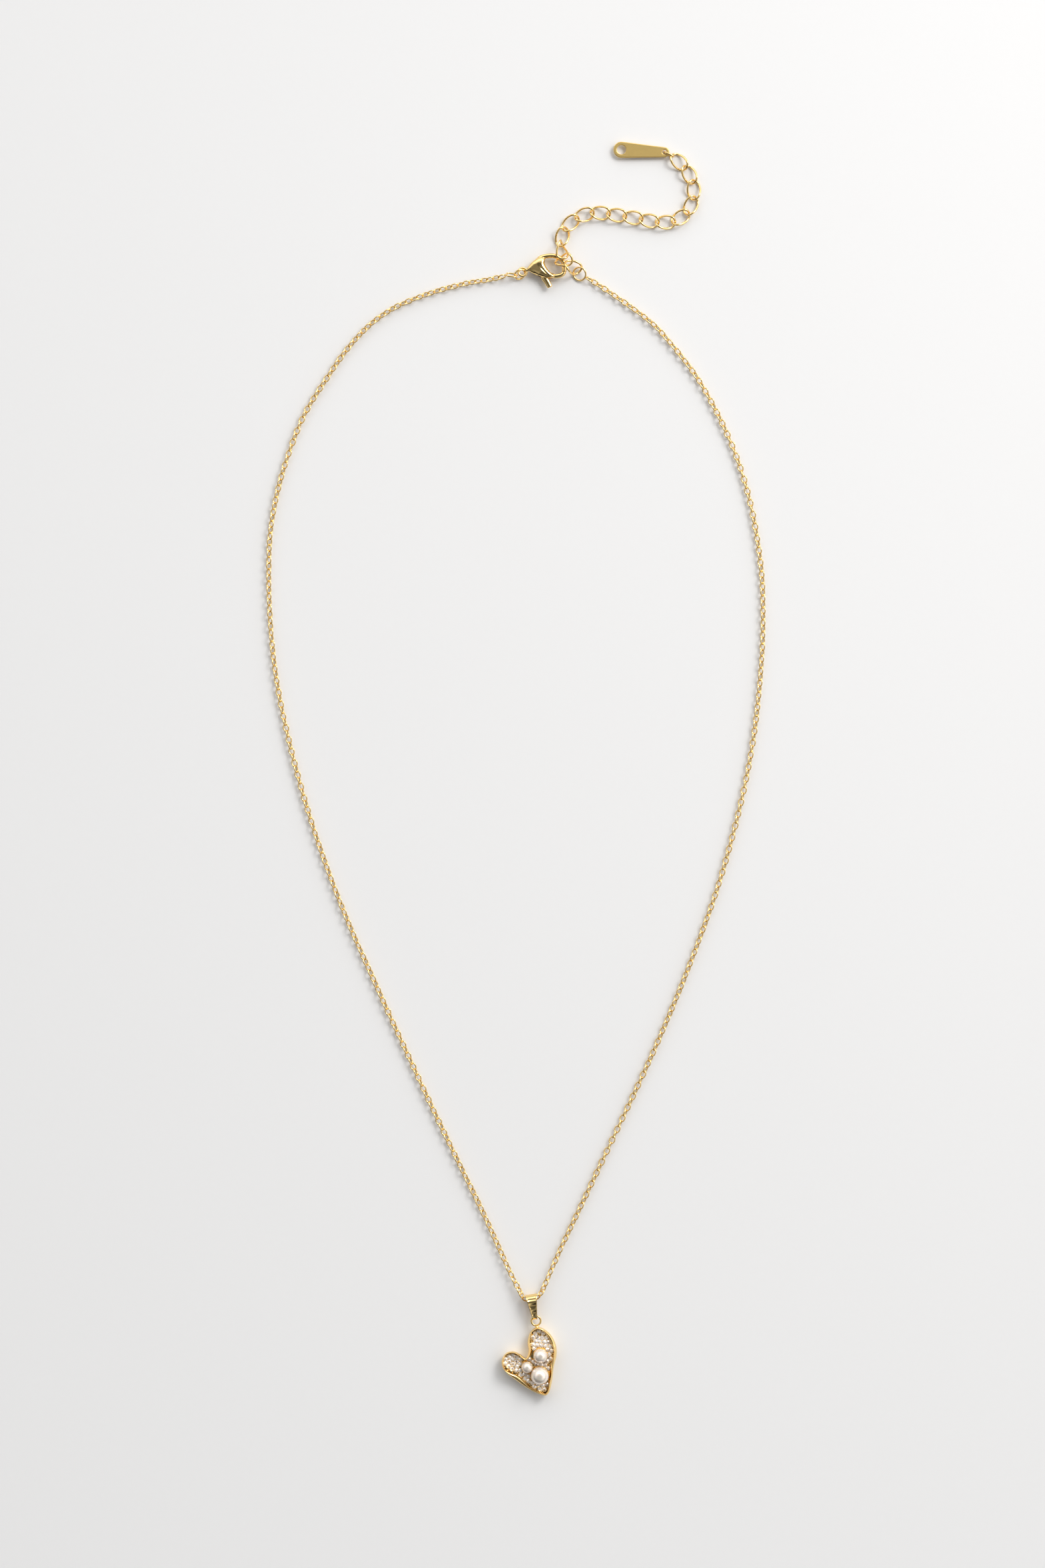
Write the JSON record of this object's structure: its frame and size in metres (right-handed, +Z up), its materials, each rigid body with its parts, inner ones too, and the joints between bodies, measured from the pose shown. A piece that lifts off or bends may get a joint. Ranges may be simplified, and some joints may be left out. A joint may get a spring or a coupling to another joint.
{
  "type": "pendant necklace",
  "caption": "Fine gold cable-chain necklace with a lobster clasp, a link extender with a flat tag, and a heart pendant set with pearls and clear stones.",
  "frame": {"origin": "centre of the flat-lying necklace on the surface it lies on", "axes": "+Y from the pendant to the clasp along the long side, +X across, +Z up from the surface"},
  "size_m": [0.095, 0.2377, 0.0045],
  "materials": {
    "polished_gold": "polished",
    "satin_gold": "satin",
    "spring_steel": "satin",
    "pearl": "pearlescent",
    "stone": "polished"
  },
  "bodies": {
    "clasp": {"clasp_body": "polished_gold", "clasp_pin": "polished_gold", "clasp_spring": "spring_steel"},
    "lever": {"clasp_lever": "polished_gold"},
    "clasp_ring": {"clasp_ring": "polished_gold"},
    "end_link": {"end_link": "polished_gold"},
    "chain_left_01": {"chain_left_01": "polished_gold", "chain_left_02": "polished_gold", "chain_left_03": "polished_gold"},
    "chain_left_04": {"chain_left_04": "polished_gold"},
    "chain_left_05": {"chain_left_05": "polished_gold"},
    "chain_left_06": {"chain_left_06": "polished_gold"},
    "chain_left_07": {"chain_left_07": "polished_gold"},
    "chain_left_08": {"chain_left_08": "polished_gold"},
    "chain_left_09": {"chain_left_09": "polished_gold"},
    "chain_left_10": {"chain_left_10": "polished_gold"},
    "chain_left_11": {"chain_left_11": "polished_gold"},
    "chain_centre": {"chain_centre": "polished_gold"},
    "joining_ring": {"joining_ring": "polished_gold"},
    "chain_right_01": {"chain_right_01": "polished_gold", "chain_right_02": "polished_gold"},
    "chain_right_03": {"chain_right_03": "polished_gold"},
    "chain_right_04": {"chain_right_04": "polished_gold"},
    "chain_right_05": {"chain_right_05": "polished_gold"},
    "chain_right_06": {"chain_right_06": "polished_gold"},
    "chain_right_07": {"chain_right_07": "polished_gold"},
    "chain_right_08": {"chain_right_08": "polished_gold"},
    "chain_right_09": {"chain_right_09": "polished_gold"},
    "chain_right_10": {"chain_right_10": "polished_gold"},
    "extender_link_01": {"extender_link_01": "polished_gold"},
    "extender_link_02": {"extender_link_02": "polished_gold"},
    "extender_link_03": {"extender_link_03": "polished_gold"},
    "extender_link_04": {"extender_link_04": "polished_gold"},
    "extender_link_05": {"extender_link_05": "polished_gold"},
    "extender_link_06": {"extender_link_06": "polished_gold"},
    "extender_link_07": {"extender_link_07": "polished_gold"},
    "extender_link_08": {"extender_link_08": "polished_gold"},
    "extender_link_09": {"extender_link_09": "polished_gold"},
    "extender_link_10": {"extender_link_10": "polished_gold"},
    "extender_link_11": {"extender_link_11": "polished_gold"},
    "extender_link_12": {"extender_link_12": "polished_gold"},
    "extender_link_13": {"extender_link_13": "polished_gold"},
    "extender_link_14": {"extender_link_14": "polished_gold"},
    "extender_link_15": {"extender_link_15": "polished_gold"},
    "extender_link_16": {"extender_link_16": "polished_gold"},
    "tag_link": {"tag_link": "polished_gold"},
    "extender_tag": {"extender_tag": "satin_gold"},
    "bail": {"bail": "polished_gold"},
    "pendant": {"heart_setting": "polished_gold", "pendant_loop": "polished_gold", "stone_pave": "stone", "pearl_large": "pearl", "pearl_medium": "pearl", "pearl_small": "pearl", "pearl_seat_large": "polished_gold", "pearl_seat_medium": "polished_gold", "pearl_seat_small": "polished_gold"}
  },
  "joints": [
    {"name": "lever_turn", "type": "hinge", "parent": "clasp", "child": "lever", "pos_m": [0.00495, 0.09388, 0.00112], "axis": [0, 0, 1], "range_deg": [-24, 0], "stiffness_Nm_per_rad": 0.0004, "springref_deg": 14.32},
    {"name": "loop_spread", "type": "hinge", "parent": "chain_right_05", "child": "chain_right_06", "pos_m": [0.0451, 0.0066, 0.00066], "axis": [0, 0, 1], "range_deg": [-2.6, 2.6]},
    {"name": "chain_left_01_turn", "type": "hinge", "parent": "clasp", "child": "chain_left_01", "pos_m": [0.00099, 0.09388, 0.0011], "axis": [0, 0, 1], "range_deg": [-6.26, 6.26]},
    {"name": "chain_left_04_turn", "type": "hinge", "parent": "chain_left_01", "child": "chain_left_04", "pos_m": [-0.0354, 0.0748, 0.00066], "axis": [0, 0, 1], "range_deg": [-1.37, 1.37]},
    {"name": "chain_left_05_turn", "type": "hinge", "parent": "chain_left_04", "child": "chain_left_05", "pos_m": [-0.0454, 0.0522, 0.00066], "axis": [0, 0, 1], "range_deg": [-1.59, 1.59]},
    {"name": "chain_left_06_turn", "type": "hinge", "parent": "chain_left_05", "child": "chain_left_06", "pos_m": [-0.0468, 0.0294, 0.00066], "axis": [0, 0, 1], "range_deg": [-1.83, 1.83]},
    {"name": "chain_left_07_turn", "type": "hinge", "parent": "chain_left_06", "child": "chain_left_07", "pos_m": [-0.0435, 0.0066, 0.00066], "axis": [0, 0, 1], "range_deg": [-1.97, 1.97]},
    {"name": "chain_left_08_turn", "type": "hinge", "parent": "chain_left_07", "child": "chain_left_08", "pos_m": [-0.0369, -0.0162, 0.00066], "axis": [0, 0, 1], "range_deg": [-1.94, 1.94]},
    {"name": "chain_left_09_turn", "type": "hinge", "parent": "chain_left_08", "child": "chain_left_09", "pos_m": [-0.0276, -0.039, 0.00066], "axis": [0, 0, 1], "range_deg": [-1.68, 1.68]},
    {"name": "chain_left_10_turn", "type": "hinge", "parent": "chain_left_09", "child": "chain_left_10", "pos_m": [-0.0172, -0.0618, 0.00066], "axis": [0, 0, 1], "range_deg": [-1.18, 1.18]},
    {"name": "chain_left_11_turn", "type": "hinge", "parent": "chain_left_10", "child": "chain_left_11", "pos_m": [-0.0062, -0.0846, 0.00066], "axis": [0, 0, 1], "range_deg": [-0.48, 0.48]},
    {"name": "chain_centre_turn", "type": "hinge", "parent": "chain_left_11", "child": "chain_centre", "pos_m": [0.0007, -0.0993, 0.0013], "axis": [0, 0, 1], "range_deg": [-5.48, 5.48]},
    {"name": "chain_right_01_turn", "type": "hinge", "parent": "clasp", "child": "chain_right_01", "pos_m": [0.01345, 0.09295, 0.00066], "axis": [0, 0, 1], "range_deg": [-7.77, 7.77]},
    {"name": "chain_right_03_turn", "type": "hinge", "parent": "chain_right_01", "child": "chain_right_03", "pos_m": [0.0337, 0.0749, 0.00066], "axis": [0, 0, 1], "range_deg": [-1.18, 1.18]},
    {"name": "chain_right_04_turn", "type": "hinge", "parent": "chain_right_03", "child": "chain_right_04", "pos_m": [0.0439, 0.0522, 0.00066], "axis": [0, 0, 1], "range_deg": [-1.93, 1.93]},
    {"name": "chain_right_05_turn", "type": "hinge", "parent": "chain_right_04", "child": "chain_right_05", "pos_m": [0.0468, 0.0294, 0.00066], "axis": [0, 0, 1], "range_deg": [-2.38, 2.38]},
    {"name": "chain_right_07_turn", "type": "hinge", "parent": "chain_right_06", "child": "chain_right_07", "pos_m": [0.0401, -0.0162, 0.00066], "axis": [0, 0, 1], "range_deg": [-2.67, 2.67]},
    {"name": "chain_right_08_turn", "type": "hinge", "parent": "chain_right_07", "child": "chain_right_08", "pos_m": [0.0322, -0.039, 0.00066], "axis": [0, 0, 1], "range_deg": [-2.35, 2.35]},
    {"name": "chain_right_09_turn", "type": "hinge", "parent": "chain_right_08", "child": "chain_right_09", "pos_m": [0.0223, -0.0618, 0.00066], "axis": [0, 0, 1], "range_deg": [-1.68, 1.68]},
    {"name": "chain_right_10_turn", "type": "hinge", "parent": "chain_right_09", "child": "chain_right_10", "pos_m": [0.0115, -0.0846, 0.00066], "axis": [0, 0, 1], "range_deg": [-0.68, 0.68]},
    {"name": "clasp_ring_turn", "type": "hinge", "parent": "chain_left_01", "child": "clasp_ring", "pos_m": [0.00099, 0.09388, 0.0011], "axis": [0, 0, 1], "range_deg": [-2, 2]},
    {"name": "end_link_turn", "type": "hinge", "parent": "chain_left_01", "child": "end_link", "pos_m": [-0.0023, 0.0933, 0.00066], "axis": [0, 0, 1], "range_deg": [-1.4, 1.4]},
    {"name": "extender_link_02_turn", "type": "hinge", "parent": "clasp", "child": "extender_link_02", "pos_m": [0.00892, 0.09612, 0.00112], "axis": [0, 0, 1], "range_deg": [-0.8, 0.8]},
    {"name": "extender_link_01_turn", "type": "hinge", "parent": "extender_link_02", "child": "extender_link_01", "pos_m": [0.0098, 0.09559, 0.00204], "axis": [0, 0, 1], "range_deg": [-1.2, 1.2]},
    {"name": "joining_ring_turn", "type": "hinge", "parent": "extender_link_01", "child": "joining_ring", "pos_m": [0.01146, 0.09434, 0.00056], "axis": [0, 0, 1], "range_deg": [-1.5, 1.5]},
    {"name": "bail_swing", "type": "hinge", "parent": "chain_centre", "child": "bail", "pos_m": [0.00275, -0.1007, 0.0013], "axis": [0.9866, 0.1633, 0], "range_deg": [-60, 20]},
    {"name": "pendant_swing", "type": "hinge", "parent": "bail", "child": "pendant", "pos_m": [0.00347, -0.1039, 0.00135], "axis": [0.9866, 0.1633, 0], "range_deg": [-35, 30]},
    {"name": "extender_link_03_turn", "type": "hinge", "parent": "extender_link_02", "child": "extender_link_03", "pos_m": [0.00914, 0.09692, 0.00186], "axis": [0, 0, 1], "range_deg": [-15, 5]},
    {"name": "extender_link_04_turn", "type": "hinge", "parent": "extender_link_03", "child": "extender_link_04", "pos_m": [0.00857, 0.09942, 0.00104], "axis": [0, 0, 1], "range_deg": [-20, 20]},
    {"name": "extender_link_05_turn", "type": "hinge", "parent": "extender_link_04", "child": "extender_link_05", "pos_m": [0.00908, 0.10227, 0.00074], "axis": [0, 0, -1], "range_deg": [-74, 6]},
    {"name": "extender_link_06_turn", "type": "hinge", "parent": "extender_link_05", "child": "extender_link_06", "pos_m": [0.0114, 0.10436, 0.00074], "axis": [0, 0, 1], "range_deg": [-18, 62]},
    {"name": "extender_link_07_turn", "type": "hinge", "parent": "extender_link_06", "child": "extender_link_07", "pos_m": [0.01434, 0.10543, 0.00074], "axis": [0, 0, -1], "range_deg": [-66, 14]},
    {"name": "extender_link_08_turn", "type": "hinge", "parent": "extender_link_07", "child": "extender_link_08", "pos_m": [0.01746, 0.10511, 0.00074], "axis": [0, 0, 1], "range_deg": [-37, 43]},
    {"name": "extender_link_09_turn", "type": "hinge", "parent": "extender_link_08", "child": "extender_link_09", "pos_m": [0.02055, 0.10461, 0.00074], "axis": [0, 0, -1], "range_deg": [-40, 40]},
    {"name": "extender_link_10_turn", "type": "hinge", "parent": "extender_link_09", "child": "extender_link_10", "pos_m": [0.02364, 0.10412, 0.00074], "axis": [0, 0, 1], "range_deg": [-37, 43]},
    {"name": "extender_link_11_turn", "type": "hinge", "parent": "extender_link_10", "child": "extender_link_11", "pos_m": [0.0267, 0.10347, 0.00074], "axis": [0, 0, -1], "range_deg": [-27, 53]},
    {"name": "extender_link_12_turn", "type": "hinge", "parent": "extender_link_11", "child": "extender_link_12", "pos_m": [0.02983, 0.10353, 0.00074], "axis": [0, 0, 1], "range_deg": [-72, 8]},
    {"name": "extender_link_13_turn", "type": "hinge", "parent": "extender_link_12", "child": "extender_link_13", "pos_m": [0.03246, 0.10523, 0.00074], "axis": [0, 0, -1], "range_deg": [-7, 73]},
    {"name": "extender_link_14_turn", "type": "hinge", "parent": "extender_link_13", "child": "extender_link_14", "pos_m": [0.03373, 0.10809, 0.00074], "axis": [0, 0, 1], "range_deg": [-67, 13]},
    {"name": "extender_link_15_turn", "type": "hinge", "parent": "extender_link_14", "child": "extender_link_15", "pos_m": [0.03357, 0.11122, 0.00074], "axis": [0, 0, -1], "range_deg": [-13, 67]},
    {"name": "extender_link_16_turn", "type": "hinge", "parent": "extender_link_15", "child": "extender_link_16", "pos_m": [0.032, 0.11393, 0.00074], "axis": [0, 0, 1], "range_deg": [-58, 22]},
    {"name": "tag_link_turn", "type": "hinge", "parent": "extender_link_16", "child": "tag_link", "pos_m": [0.02967, 0.11602, 0.00074], "axis": [0, 0, 1], "range_deg": [-15, 15]},
    {"name": "tag_turn", "type": "hinge", "parent": "tag_link", "child": "extender_tag", "pos_m": [0.02807, 0.11679, 0.00068], "axis": [0, 0, 1], "range_deg": [-15, 15]}
  ],
  "couplings": [
    {"joint": "chain_left_01_turn", "follows": "loop_spread", "ratio": 2.3888},
    {"joint": "chain_left_04_turn", "follows": "loop_spread", "ratio": -0.5084},
    {"joint": "chain_left_05_turn", "follows": "loop_spread", "ratio": -0.5917},
    {"joint": "chain_left_06_turn", "follows": "loop_spread", "ratio": -0.6839},
    {"joint": "chain_left_07_turn", "follows": "loop_spread", "ratio": -0.7396},
    {"joint": "chain_left_08_turn", "follows": "loop_spread", "ratio": -0.7284},
    {"joint": "chain_left_09_turn", "follows": "loop_spread", "ratio": -0.6257},
    {"joint": "chain_left_10_turn", "follows": "loop_spread", "ratio": -0.433},
    {"joint": "chain_left_11_turn", "follows": "loop_spread", "ratio": -0.1669},
    {"joint": "chain_centre_turn", "follows": "loop_spread", "ratio": 2.0889},
    {"joint": "chain_right_01_turn", "follows": "loop_spread", "ratio": -2.9682},
    {"joint": "chain_right_03_turn", "follows": "loop_spread", "ratio": 0.435},
    {"joint": "chain_right_04_turn", "follows": "loop_spread", "ratio": 0.7223},
    {"joint": "chain_right_05_turn", "follows": "loop_spread", "ratio": 0.8962},
    {"joint": "chain_right_07_turn", "follows": "loop_spread", "ratio": 1.0064},
    {"joint": "chain_right_08_turn", "follows": "loop_spread", "ratio": 0.8864},
    {"joint": "chain_right_09_turn", "follows": "loop_spread", "ratio": 0.6274},
    {"joint": "chain_right_10_turn", "follows": "loop_spread", "ratio": 0.2438}
  ]
}
